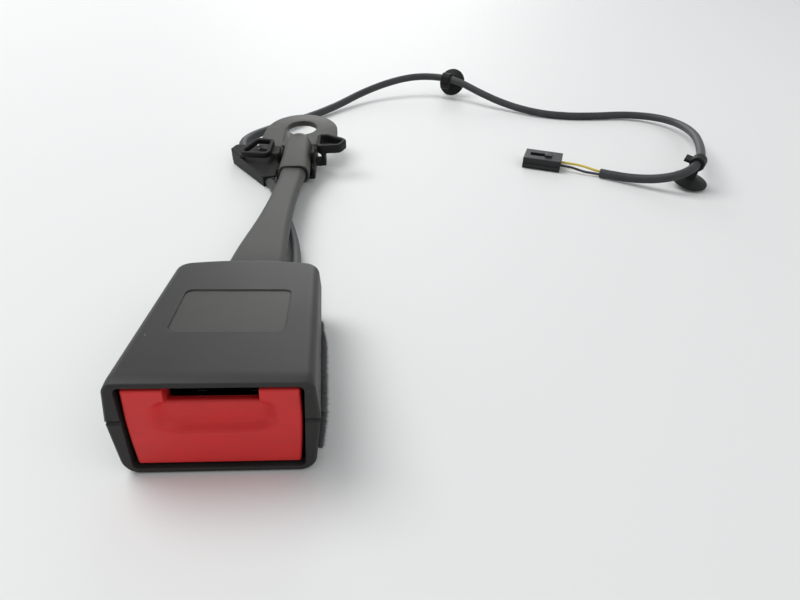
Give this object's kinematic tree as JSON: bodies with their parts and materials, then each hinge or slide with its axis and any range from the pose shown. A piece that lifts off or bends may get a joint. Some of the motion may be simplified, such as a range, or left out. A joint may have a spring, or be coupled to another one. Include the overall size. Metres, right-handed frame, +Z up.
{
  "type": "seat belt buckle",
  "caption": "Seat belt buckle with a red press button, wire-rope stalk, bolt-down anchor plate and a clipped sensor lead ending in a two-pin plug.",
  "frame": {"origin": "centre of the underside of the buckle, stalk and anchor's own box, on the table", "axes": "+Z up, head's button faces -Y, stalk and anchor lead towards +Y, +X to the right seen from the button"},
  "size_m": [0.2836, 0.375, 0.0314],
  "materials": {
    "casing_plastic": "fine-grained satin moulding, very dark warm grey",
    "button_red": "lightly worn red moulding",
    "felt": "black fleece",
    "zinc_steel": "zinc-plated steel",
    "hard_steel": "ground steel",
    "spring_steel": "spring wire",
    "white_plastic": "natural acetal",
    "magnet": "ferrite",
    "sleeve_plastic": "satin warm grey sleeve",
    "anchor_paint": "grey dipped paint on pressed steel",
    "holder_plastic": "black nylon",
    "lead_sheath": "dark grey sheath",
    "wire_yellow": "yellow wire insulation",
    "wire_black": "black wire insulation",
    "connector_plastic": "black connector moulding",
    "brass_plating": "tinned brass contact"
  },
  "bodies": {
    "root": {"upper_cover": "casing_plastic", "lower_cover": "casing_plastic", "felt_pad": "felt", "buckle_frame": "zinc_steel", "latch_pivot_pin": "hard_steel", "ejector_springs": "spring_steel", "button_springs": "spring_steel", "stalk_rope": "zinc_steel", "stalk_sleeve": "sleeve_plastic", "stalk_bush": "hard_steel", "stalk_rivet": "hard_steel", "sensor_housing": "holder_plastic", "anchor_plate": "anchor_paint", "cable_holder": "holder_plastic", "sensor_lead": "lead_sheath", "lead_cord": "lead_sheath", "far_clip": "holder_plastic", "near_clip": "holder_plastic", "wire_yellow": "wire_yellow", "wire_black": "wire_black", "connector_housing": "connector_plastic", "connector_terminals": "brass_plating"},
    "button": {"press_button": "button_red"},
    "latch": {"latch_plate": "hard_steel", "latch_ear_pin": "hard_steel", "latch_spring": "spring_steel"},
    "ejector_body": {"ejector": "white_plastic", "sensor_magnet": "magnet"}
  },
  "joints": [
    {"name": "button_press", "type": "slide", "parent": "root", "child": "button", "axis": [0, 0.9929, -0.1191], "range_m": [0, 0.005], "stiffness_N_per_m": 1200, "springref_m": -0.004, "deforming": ["button_springs"]},
    {"name": "latch_pivot", "type": "hinge", "parent": "root", "child": "latch", "pos_m": [-0.00187, -0.08405, 0.01518], "axis": [1, 0, 0], "range_deg": [0, 7]},
    {"name": "ejector_slide", "type": "slide", "parent": "root", "child": "ejector_body", "axis": [0, 0.9929, -0.1191], "range_m": [0, 0.01], "stiffness_N_per_m": 400, "springref_m": -0.008, "deforming": ["ejector_springs"]}
  ],
  "couplings": [
    {"joint": "latch_pivot", "follows": "button_press", "rad_per_m": 24.43}
  ]
}
